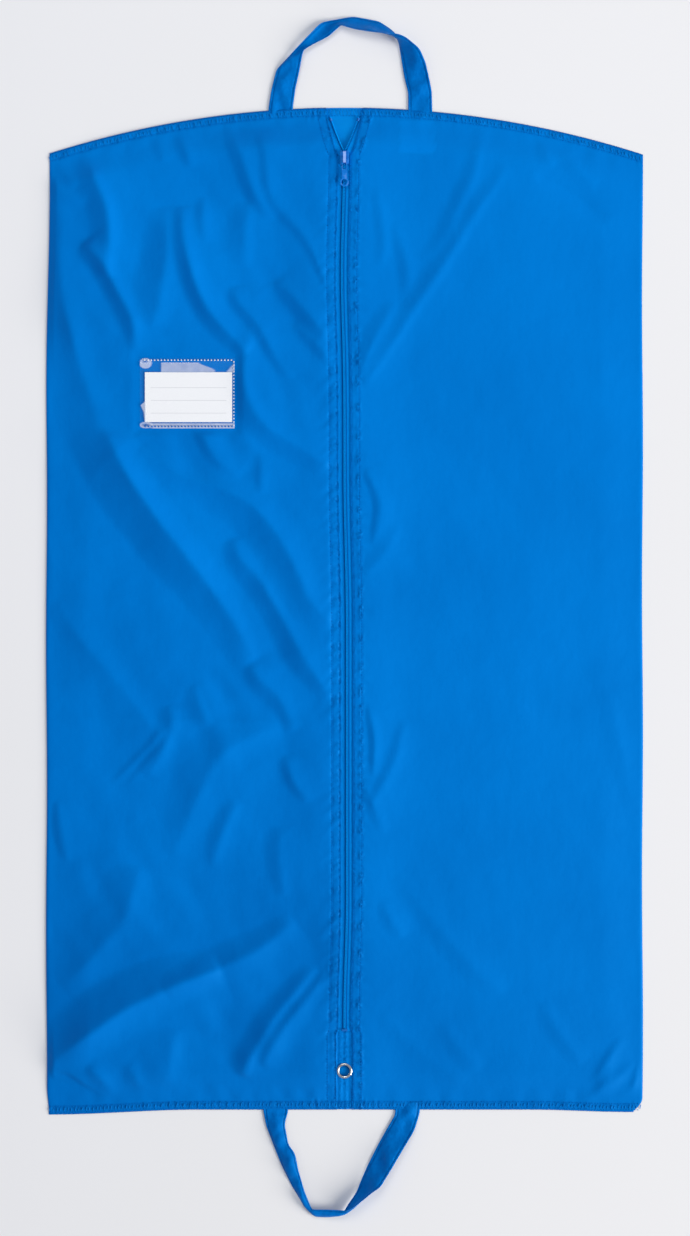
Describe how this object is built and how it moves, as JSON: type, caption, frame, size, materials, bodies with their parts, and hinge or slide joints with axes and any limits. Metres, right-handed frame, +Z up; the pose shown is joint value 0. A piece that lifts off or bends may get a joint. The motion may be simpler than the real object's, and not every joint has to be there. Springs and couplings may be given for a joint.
{
  "type": "garment bag",
  "caption": "Flat hanging garment bag with a full-length front zipper, hook opening, clear card pocket, hem eyelet and a strap loop at each end.",
  "frame": {"origin": "middle of the whole bag, strap loops included, on the surface that it lies on", "axes": "+X across the bag, +Y from the bottom seam to the shoulder seam, +Z up out of the front"},
  "size_m": [0.61, 1.2254, 0.014],
  "materials": {
    "bag_cloth": "blue nylon taffeta with a soft satin sheen",
    "zipper_tape": "ribbed blue woven tape",
    "zipper_coil": "blue nylon coil, satin",
    "zipper_stop": "blue painted, satin",
    "slider_paint": "violet-blue enamel, glossy",
    "eyelet_nickel": "polished nickel plate",
    "clear_vinyl": "clear soft vinyl, glossy",
    "card_paper": "white card, matt, three faint ruled lines",
    "label_tape": "thin pale woven label",
    "white_thread": "white sewing thread",
    "blue_thread": "blue sewing thread",
    "strap_webbing": "blue folded taffeta strap, satin"
  },
  "bodies": {
    "bag_upper": {"back_panel_upper": "bag_cloth", "front_panel_left_upper": "bag_cloth", "front_panel_right_upper": "bag_cloth", "zipper_coil_left_upper": "zipper_coil", "zipper_coil_right_upper": "zipper_coil", "zipper_tape_left_upper": "zipper_tape", "zipper_tape_right_upper": "zipper_tape", "zipper_thread_left_upper": "blue_thread", "zipper_thread_right_upper": "blue_thread", "zipper_top_stop_left": "zipper_stop", "zipper_top_stop_right": "zipper_stop", "id_window": "clear_vinyl", "inner_label": "label_tape", "pocket_thread": "white_thread", "top_seam_thread": "blue_thread"},
    "bag_lower": {"back_panel_lower": "bag_cloth", "front_panel_left_lower": "bag_cloth", "front_panel_right_lower": "bag_cloth", "zipper_coil_left_lower": "zipper_coil", "zipper_coil_right_lower": "zipper_coil", "zipper_tape_left_lower": "zipper_tape", "zipper_tape_right_lower": "zipper_tape", "zipper_thread_left_lower": "blue_thread", "zipper_thread_right_lower": "blue_thread", "zipper_bottom_stop": "zipper_stop", "grommet_strip": "bag_cloth", "grommet_eyelet": "eyelet_nickel", "grommet_washer": "eyelet_nickel", "strip_thread": "blue_thread", "bottom_seam_thread": "blue_thread"},
    "slider": {"slider_body": "slider_paint"},
    "pull": {"pull_tab": "slider_paint"},
    "top_loop": {"top_handle": "strap_webbing"},
    "bottom_loop": {"bottom_handle": "strap_webbing"},
    "card": {"id_card": "card_paper"}
  },
  "joints": [
    {"name": "fold", "type": "hinge", "parent": "bag_upper", "child": "bag_lower", "pos_m": [0, 0.007, 0.0125], "axis": [1, 0, 0], "range_deg": [-180, 0]},
    {"name": "zipper_slide", "type": "slide", "parent": "bag_upper", "child": "slider", "axis": [0, -1, 0], "range_m": [0, 0.88]},
    {"name": "pull_tab_hinge", "type": "hinge", "parent": "slider", "child": "pull", "pos_m": [0, 0.465, 0.0123], "axis": [-1, 0, 0], "range_deg": [0, 165]},
    {"name": "top_loop_hinge", "type": "hinge", "parent": "bag_upper", "child": "top_loop", "pos_m": [0, 0.5178, 0.0024], "axis": [1, 0, 0], "range_deg": [0, 160]},
    {"name": "bottom_loop_hinge", "type": "hinge", "parent": "bag_lower", "child": "bottom_loop", "pos_m": [0, -0.506, 0.0024], "axis": [-1, 0, 0], "range_deg": [0, 160]},
    {"name": "card_slide", "type": "slide", "parent": "bag_upper", "child": "card", "axis": [-1, 0, 0], "range_m": [0, 0.095]}
  ]
}
